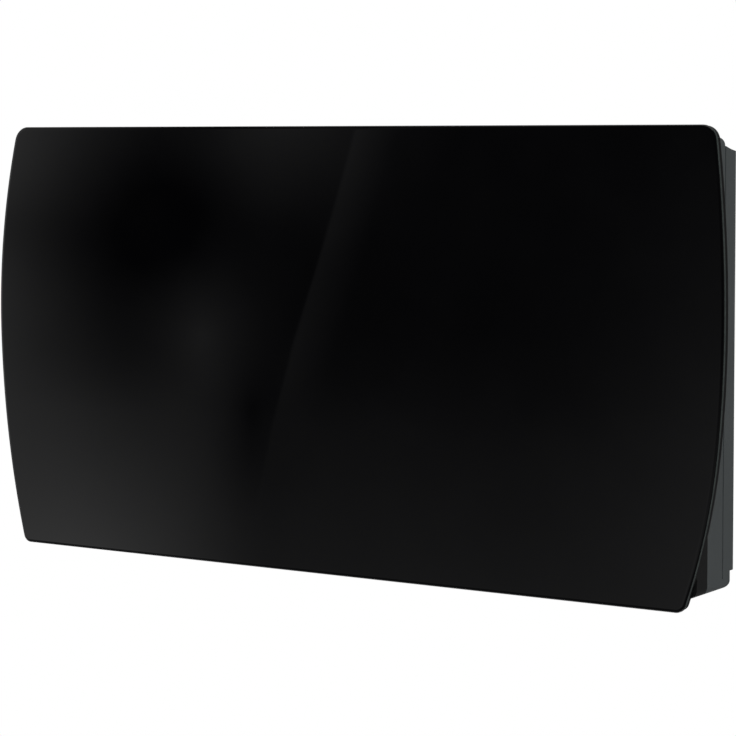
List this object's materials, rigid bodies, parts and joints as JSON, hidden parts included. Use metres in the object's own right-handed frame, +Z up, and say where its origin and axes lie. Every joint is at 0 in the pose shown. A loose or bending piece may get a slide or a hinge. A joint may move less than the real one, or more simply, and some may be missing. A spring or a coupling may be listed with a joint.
{
  "type": "electric panel heater",
  "caption": "Wall-hung electric heater with a bowed black glass front, grey casing, finned elements, top controls, mains rocker and wall bracket",
  "frame": {"origin": "middle of the wall bracket's four screw holes, on the wall", "axes": "+X to the right as seen from the room, +Z up, the glass faces -Y"},
  "size_m": [0.8644, 0.1059, 0.45],
  "materials": {
    "black_glass": "polished",
    "black_plastic": "fine texture",
    "black_gloss": "gloss",
    "grey_plastic": "fine texture",
    "grey_key": "satin",
    "black_steel": "powder coat",
    "steel": "zinc plated",
    "aluminium": "mill finish",
    "copper": "bright",
    "carbon_film": "matte",
    "felt": "felt",
    "black_rubber": "matte",
    "white_ceramic": "unglazed",
    "white_plastic": "matte",
    "board_green": "solder resist",
    "smoked_lens": "gloss",
    "lead_sheath": "matte"
  },
  "bodies": {
    "wall_bracket": {"wall_bracket": "black_steel"},
    "heater": {"board_capacitor": "black_plastic", "board_transformer": "black_plastic", "cable_gland": "black_plastic", "carrier_nuts": "steel", "case_screws": "steel", "control_board": "board_green", "control_fascia": "black_gloss", "control_lead": "lead_sheath", "control_tray": "black_plastic", "display_lens": "smoked_lens", "display_module": "black_plastic", "element_bushes": "white_ceramic", "element_leads": "lead_sheath", "film_busbars": "copper", "film_grommets": "black_rubber", "film_leads": "lead_sheath", "front_casing": "black_steel", "gland_nut": "black_plastic", "glass_carrier": "black_plastic", "glass_panel": "black_glass", "hanger_plates": "steel", "hanger_rivets": "steel", "heating_film": "carbon_film", "inlet_grille": "black_plastic", "insulation_pad": "felt", "left_element_bracket": "steel", "lower_element": "aluminium", "lower_rod": "steel", "mains_leads": "lead_sheath", "mid_frame": "grey_plastic", "outlet_grille": "black_plastic", "power_board": "board_green", "power_relays": "black_plastic", "rear_cover": "grey_plastic", "rear_vent": "black_steel", "reflector": "aluminium", "reflector_rivets": "steel", "right_element_bracket": "steel", "rocker_housing": "black_plastic", "room_sensor": "black_plastic", "switch_leads": "lead_sheath", "tact_switches": "black_plastic", "tapping_screws": "steel", "terminal_block": "white_plastic", "thermal_cutout": "black_plastic", "upper_element": "aluminium", "upper_rod": "steel", "wall_buffers": "black_rubber"},
    "rocker": {"rocker": "black_gloss"},
    "power_button": {"power_button": "grey_key"},
    "mode_button": {"mode_button": "grey_key"},
    "minus_button": {"minus_button": "grey_key"},
    "plus_button": {"plus_button": "grey_key"}
  },
  "joints": [
    {"name": "lift_off", "type": "slide", "parent": "wall_bracket", "child": "heater", "axis": [0, 0, 1], "range_m": [0, 0.014]},
    {"name": "power_press", "type": "slide", "parent": "heater", "child": "power_button", "axis": [0, 0, -1], "range_m": [0, 0.0008], "stiffness_N_per_m": 400, "springref_m": -0.0004},
    {"name": "mode_press", "type": "slide", "parent": "heater", "child": "mode_button", "axis": [0, 0, -1], "range_m": [0, 0.0008], "stiffness_N_per_m": 400, "springref_m": -0.0004},
    {"name": "minus_press", "type": "slide", "parent": "heater", "child": "minus_button", "axis": [0, 0, -1], "range_m": [0, 0.0008], "stiffness_N_per_m": 400, "springref_m": -0.0004},
    {"name": "plus_press", "type": "slide", "parent": "heater", "child": "plus_button", "axis": [0, 0, -1], "range_m": [0, 0.0008], "stiffness_N_per_m": 400, "springref_m": -0.0004},
    {"name": "rocker_tip", "type": "hinge", "parent": "heater", "child": "rocker", "pos_m": [-0.402, -0.054, -0.2227], "axis": [0, 1, 0], "range_deg": [0, 16]}
  ]
}
